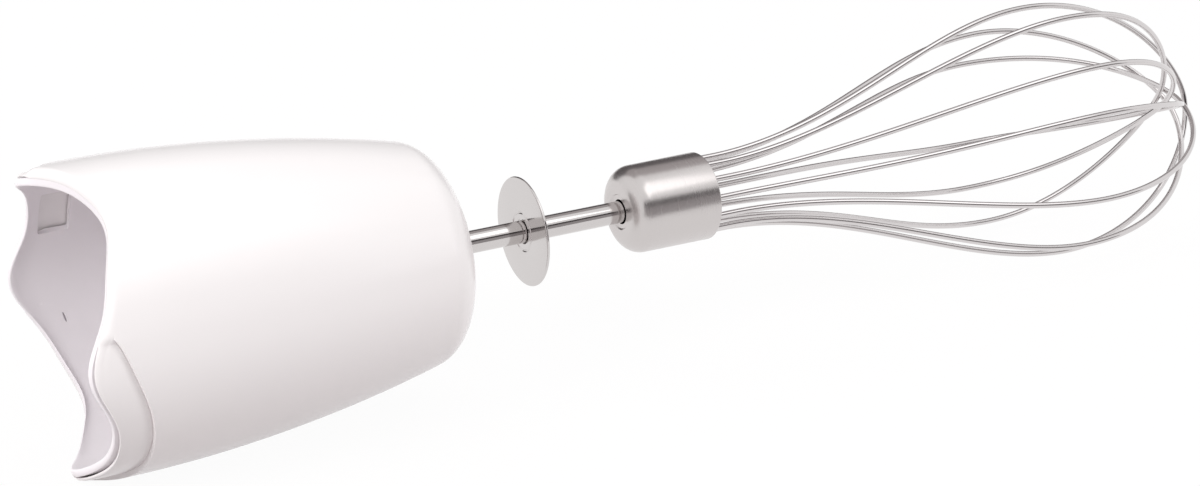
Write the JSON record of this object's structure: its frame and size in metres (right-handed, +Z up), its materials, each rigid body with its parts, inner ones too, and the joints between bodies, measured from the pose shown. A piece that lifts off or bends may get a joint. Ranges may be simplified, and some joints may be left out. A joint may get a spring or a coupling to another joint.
{
  "type": "immersion blender whisk attachment",
  "caption": "Plug-on whisk attachment for an immersion blender: a wavy-rimmed geared housing, a shaft with a splash disc, and a balloon whisk of bent wire loops held in a ferrule.",
  "frame": {"origin": "on the floor plane under the middle of the box around the attachment, which lies on its side", "axes": "+X along the spin axis from the motor socket towards the whisk's tip, +Z up, +Y away from the side that faces the camera"},
  "size_m": [0.2984, 0.065, 0.065],
  "materials": {
    "outer_cover": "glossy moulded white",
    "inner_sleeve": "satin moulded white",
    "case_plastic": "satin moulded grey",
    "gear_plastic": "natural acetal",
    "dark_plastic": "satin moulded black",
    "plain_steel": "turned and ground",
    "polished_steel": "polished stainless steel",
    "satin_steel": "deep-drawn, satin stainless steel",
    "bronze": "sintered bronze",
    "seal_rubber": "matte black rubber"
  },
  "bodies": {
    "housing": {"outer_cover": "outer_cover", "inner_sleeve": "inner_sleeve", "gear_lid": "case_plastic", "gear_case": "case_plastic", "case_screw_1": "plain_steel", "case_screw_2": "plain_steel", "case_screw_3": "plain_steel", "ring_gear": "gear_plastic", "drive_bush": "bronze", "nose_bush": "bronze", "lip_seal": "seal_rubber", "thrust_washer": "dark_plastic"},
    "whisk": {"planet_pin_1": "plain_steel", "planet_pin_2": "plain_steel", "planet_pin_3": "plain_steel", "planet_carrier": "case_plastic", "cross_pin": "plain_steel", "whisk_shaft": "polished_steel", "splash_disc": "polished_steel", "ferrule_cup": "satin_steel", "ferrule_plug": "case_plastic", "wire_loop_1": "polished_steel", "wire_loop_2": "polished_steel", "wire_loop_3": "polished_steel", "wire_loop_4": "polished_steel", "wire_loop_5": "polished_steel", "wire_loop_6": "polished_steel"},
    "drive": {"drive_shaft": "plain_steel", "sun_gear": "plain_steel", "drive_dog": "dark_plastic"},
    "planet_1": {"planet_gear_1": "gear_plastic"},
    "planet_2": {"planet_gear_2": "gear_plastic"},
    "planet_3": {"planet_gear_3": "gear_plastic"}
  },
  "joints": [
    {"name": "whisk_spin", "type": "hinge", "parent": "housing", "child": "whisk", "pos_m": [-0.04269, 0, 0.03252], "axis": [1, 0, 0], "continuous": true},
    {"name": "drive_spin", "type": "hinge", "parent": "housing", "child": "drive", "pos_m": [-0.10799, 0, 0.03252], "axis": [1, 0, 0], "continuous": true},
    {"name": "planet_1_spin", "type": "hinge", "parent": "whisk", "child": "planet_1", "pos_m": [-0.09469, 0, 0.04452], "axis": [1, 0, 0], "continuous": true},
    {"name": "planet_2_spin", "type": "hinge", "parent": "whisk", "child": "planet_2", "pos_m": [-0.09469, -0.01039, 0.02652], "axis": [1, 0, 0], "continuous": true},
    {"name": "planet_3_spin", "type": "hinge", "parent": "whisk", "child": "planet_3", "pos_m": [-0.09469, 0.01039, 0.02652], "axis": [1, 0, 0], "continuous": true}
  ],
  "couplings": [
    {"joint": "drive_spin", "follows": "whisk_spin", "ratio": 5},
    {"joint": "planet_1_spin", "follows": "whisk_spin", "ratio": -2.6667},
    {"joint": "planet_2_spin", "follows": "whisk_spin", "ratio": -2.6667},
    {"joint": "planet_3_spin", "follows": "whisk_spin", "ratio": -2.6667}
  ]
}
